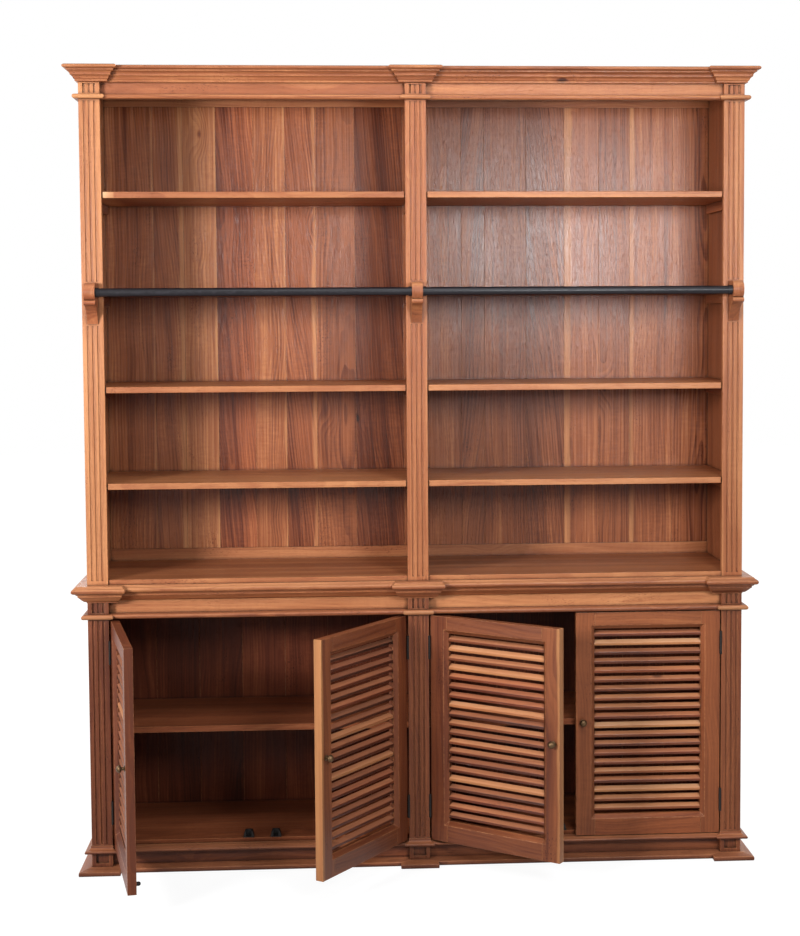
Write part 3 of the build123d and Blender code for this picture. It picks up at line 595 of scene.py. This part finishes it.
def upper_case():
    """Pilasters, frieze, sides and shelves of the open case."""
    chance = random.Random(11)
    pilasters = listed(Board(0.60, grain=2), Board(0.50, 0.2, grain=2), Board(0.49, grain=2))
    for node in ("upper_pilasters", "upper_frieze_blocks"):
        wooden(node, CASE, pilasters, chance)
    wooden("upper_frieze", CASE, listed(Board(0.46, -0.2), Board(0.52, -0.4)), chance)
    for node, tone in (("upper_side_left", 0.62), ("upper_side_right", 0.39), ("upper_partition", 0.44)):
        wooden(node, CASE, even(chance, tone, 0.02, hue=-0.9, hue_spread=0.1), chance)
    for node in ("upper_top", "upper_floor", "upper_back_rails"):
        wooden(node, CASE, even(chance, 0.46), chance)
    for number in range(1, SHELVES + 1):
        pale_ends = (PALE_SHELF_END if number == 1 else 0.0, 0.0)
        shelves = [Board(0.54 + chance.uniform(-0.03, 0.03), chance.uniform(-0.4, 0.0), pale_start=pale_end)
                   for pale_end in pale_ends]
        wooden(f"upper_shelves_{number}", CASE, listed(*shelves), chance)
    wooden("shelf_cleats", CASE, even(chance, 0.40), chance)


def back_planks():
    """The boards behind the shelves, from left to right."""
    chance = random.Random(4)
    planks = listed(
        Board(0.50, -0.2, sap_high=0.005, rise=-0.10), Board(0.50, 0.1, sap_high=0.014, rise=0.08, lean=0.04),
        Board(0.62, 0.0, sap_high=0.006), Board(0.43, 0.4, heart=(0.01, 0.03), rise=0.12, lean=0.06),
        Board(0.52, 0.1, sap_high=0.004, rise=0.06), Board(0.42, 0.3, sap_high=0.012, lean=0.09),
        Board(0.45, 0.0, rise=0.06), Board(0.33, 0.2, lean=0.07),
        Board(0.46, lean=0.05), Board(0.49, 0.1), Board(0.45, 0.0, lean=-0.08), Board(0.50, 0.2),
        Board(0.44, -0.2, lean=0.10), Board(0.50, 0.1, sap_low=0.022), Board(0.45, -0.3),
        Board(0.50, 0.1, sap_low=0.014), Board(0.46, 0.0, rise=-0.1))
    wooden("upper_back_planks", PLANK, planks, chance)


def base_case():
    """Pilasters, frieze, plinth, sides and inside of the cupboard."""
    chance = random.Random(23)
    uprights = listed(Board(0.27, 0.1, grain=2), Board(0.31, 0.1, grain=2), Board(0.34, 0.1, grain=2))
    for node in ("base_pilasters", "base_frieze_blocks", "plinth_blocks"):
        wooden(node, CASE, uprights, chance)
    wooden("base_frieze", CASE, even(chance, 0.58, 0.02), chance)
    wooden("plinth_boards", CASE, even(chance, 0.30), chance)
    for node in ("base_side_left", "base_side_right"):
        wooden(node, CASE, even(chance, 0.34), chance)
    for node in ("base_partition", "base_floor", "base_shelves"):
        wooden(node, INSIDE, even(chance, 0.47, 0.04, hue=-0.3), chance)
    wooden("base_back", INSIDE, even(chance, 0.30, 0.05), chance)


MOULDING_TONES = {
    "cornice": 0.54, "upper_bead": 0.50, "rail_brackets": 0.56, "counter_top": 0.52, "counter_moulding": 0.50,
    "base_bead": 0.36, "plinth_cap_moulding": 0.34, "plinth_foot_moulding": 0.36}


def streaked(chance, tone):
    """Boards of about one tone, some with narrow sapwood at an edge."""
    def board(number):
        return Board(tone + chance.uniform(-0.03, 0.03), chance.uniform(-0.4, 0.4),
                     sap_low=chance.choice((0.0, 0.0, 0.003, 0.007)),
                     sap_high=chance.choice((0.0, 0.0, 0.004)))
    return board


def mouldings():
    """Cornice, counter and all other profiled pieces, and the corbels of the rail."""
    chance = random.Random(37)
    for node, tone in MOULDING_TONES.items():
        wooden(node, MOULDING, streaked(chance, tone), chance)


DOORS = {   # tone of the frame and of the slats, and the pale slats, counted from the lowest
    "door_1": (0.27, 0.31, (15,)),
    "door_2": (0.34, 0.27, (9, 13)),
    "door_3": (0.32, 0.38, (0, 6, 14, 18)),
    "door_4": (0.42, 0.48, (0, 4, 11)),
}
PALE_EDGES = {"door_2": {"sap_low": 0.009}, "door_3": {"sap_high": 0.007}}   # of the closing stile


def closing_turns(joints):
    """For each door, the turn about its hinges that would close it."""
    turns = {}
    for joint in joints:
        to_hinge = Matrix.Translation(joint["pos_m"])
        turn = Matrix.Rotation(math.radians(joint["range_deg"][0]), 4, Vector(joint["axis"]))
        turns[joint["child"]] = to_hinge @ turn @ to_hinge.inverted()
    return turns


def slat_boards(chance, tone, pale):
    """One door's slats: darker and lighter ones mixed, and a few with a pale front edge."""
    def board(number):
        if number in pale:
            return Board(tone + 0.20, chance.uniform(-0.2, 0.3), sap_low=0.012)
        return Board(tone + chance.uniform(-0.12, 0.12), chance.uniform(-0.2, 0.6))
    return board


def doors():
    """All pieces of the doors. The closing stile is the first of a door's two stiles."""
    for name, closed in closing_turns(frame["joints"]).items():
        chance = random.Random(name)
        tone, slat_tone, pale_slats = DOORS[name]
        stiles = listed(Board(tone + 0.03, **PALE_EDGES.get(name, {})), Board(tone, 0.2))
        wooden(name + "_stiles", DOOR, stiles, chance, closed)
        wooden(name + "_rails", DOOR, even(chance, tone + 0.01, 0.03, hue=0.1), chance, closed)
        slats = slat_boards(chance, slat_tone, pale_slats)
        wooden(name + "_louvres", LOUVRE, slats, chance, closed, arris=0.0)
        repaint(name + "_knob", BRASS)
        repaint(name + "_ironwork", IRON)


def ironwork():
    """The metal of the case; each door has its own."""
    repaint("frame_hinge_leaves", IRON)
    repaint("floor_catches", IRON)
    repaint("ladder_rails", RAIL)
    repaint("rail_collars", RAIL)


# ---- Studio ----------------------------------------------------------------------------
FLOOR_HALF = 15.0
FLOOR_GREY = (0.16, 0.16, 0.16, 1)
FLOOR_GLOW = 0.90                   # how bright the floor looks by itself at the object
GLOW_STARTS, GLOW_FULL = 1.2, 3.2   # from where to where that rises to 1
PLAIN = (1, 1, 1)
BLUISH = (0.93, 0.97, 1.0)
FAINTLY_BLUISH = (0.96, 0.98, 1.0)
AMBIENT = 0.06                      # the world's light on the object; the backdrop is seen as 1
LAMPS = {   # place, target, width, height, watts, colour, spread in degrees
    "key_left": ((-3.1, -3.3, 1.95), (-0.3, 0, 1.8), 0.9, 0.8, 92, PLAIN, 120),
    "key_right": ((1.0, -3.1, 2.05), (0.4, 0, 1.95), 0.78, 0.75, 33, BLUISH, 120),
    "above": ((0.2, -2.3, 3.7), (0, -0.4, 0.7), 2.0, 0.9, 42, FAINTLY_BLUISH, 180),
    "side_left": ((-4.6, 0.8, 2.4), (-1, 0, 1.2), 2.4, 2.0, 90, PLAIN, 180),
    "side_right": ((4.6, 0.8, 2.4), (1, 0, 1.2), 2.4, 2.0, 90, PLAIN, 180),
    "behind": ((0.0, 4.4, 2.8), (0, 0, 1.3), 3.0, 2.0, 170, PLAIN, 180),
}


def directly_seen(t):
    """1 for what the camera sees, also in a mirror or through glass, and 0 for the light on things."""
    path = t.add("LightPath").outputs
    return t.math("MAXIMUM", path["Is Camera Ray"],
                  t.math("MAXIMUM", path["Is Glossy Ray"], path["Is Transmission Ray"]))


def studio_floor():
    """A floor that looks white by itself and takes a faint shadow, a little darker at the object."""
    corners = [(x * FLOOR_HALF, y * FLOOR_HALF, 0) for x, y in ((-1, -1), (1, -1), (1, 1), (-1, 1))]
    mesh = bpy.data.meshes.new("floor")
    mesh.from_pydata(corners, [], [(0, 1, 2, 3)])
    floor = bpy.data.objects.new("floor", mesh)
    bpy.context.scene.collection.objects.link(floor)
    material, t = new_material("white_floor")
    matt = t.add("BsdfDiffuse", None, {"Color": FLOOR_GREY})
    from_middle = t.vector_math("LENGTH", t.add("TexCoord").outputs["Object"])
    rise = t.ramp(from_middle, GLOW_STARTS, GLOW_FULL, FLOOR_GLOW, 1.0)
    glow_strength = t.math("MULTIPLY", directly_seen(t), rise)
    glow = t.add("Emission", None, {"Color": WHITE, "Strength": glow_strength})
    both = t.add("AddShader", None, {0: matt.outputs[0], 1: glow.outputs[0]})
    t.add("OutputMaterial", None, {"Surface": both.outputs[0]})
    mesh.materials.append(material)


def softbox(name, place, target, width, height, power, colour, spread):
    """One rectangular lamp, turned to its target."""
    light = bpy.data.lights.new(name, "AREA")
    light.shape = "RECTANGLE"
    light.size, light.size_y = width, height
    light.energy = power
    light.color = colour
    light.spread = math.radians(spread)
    lamp = bpy.data.objects.new(name, light)
    lamp.location = place
    lamp.rotation_euler = (Vector(target) - Vector(place)).to_track_quat("-Z", "Y").to_euler()
    bpy.context.scene.collection.objects.link(lamp)


def studio_light():
    """The lamps, and a world that is a white backdrop and only a little light."""
    for name, lamp in LAMPS.items():
        softbox(name, *lamp)
    world = bpy.data.worlds.new("white_studio")
    world.use_nodes = True
    t = Tree(world.node_tree)
    t.tree.nodes.clear()
    strength = t.math("MULTIPLY_ADD", directly_seen(t), 1 - AMBIENT, AMBIENT)
    backdrop = t.add("Background", None, {"Color": WHITE, "Strength": strength})
    t.add("OutputWorld", None, {"Surface": backdrop.outputs[0]})
    bpy.context.scene.world = world


def camera():
    """The photograph's view: turned by yaw and pitch, then rolled about the line of sight."""
    data = bpy.data.cameras.new("camera")
    data.sensor_fit = "HORIZONTAL"
    data.sensor_width = SENSOR_WIDTH
    data.lens = LENS
    data.shift_x, data.shift_y = SHIFT_X, SHIFT_Y
    forward = Vector((math.sin(CAMERA_YAW) * math.cos(CAMERA_PITCH),
                      math.cos(CAMERA_YAW) * math.cos(CAMERA_PITCH), math.sin(CAMERA_PITCH)))
    level = Vector((math.cos(CAMERA_YAW), -math.sin(CAMERA_YAW), 0))
    upright = level.cross(forward)
    right = level * math.cos(CAMERA_ROLL) + upright * math.sin(CAMERA_ROLL)
    up = upright * math.cos(CAMERA_ROLL) - level * math.sin(CAMERA_ROLL)
    turned = Matrix((right, up, -forward)).transposed().to_4x4()
    eye = bpy.data.objects.new("camera", data)
    eye.matrix_world = Matrix.Translation(CAMERA_PLACE) @ turned
    bpy.context.scene.collection.objects.link(eye)
    bpy.context.scene.camera = eye


upper_case()
back_planks()
base_case()
mouldings()
doors()
ironwork()
studio_floor()
studio_light()
camera()
bpy.context.scene.view_settings.view_transform = "Standard"
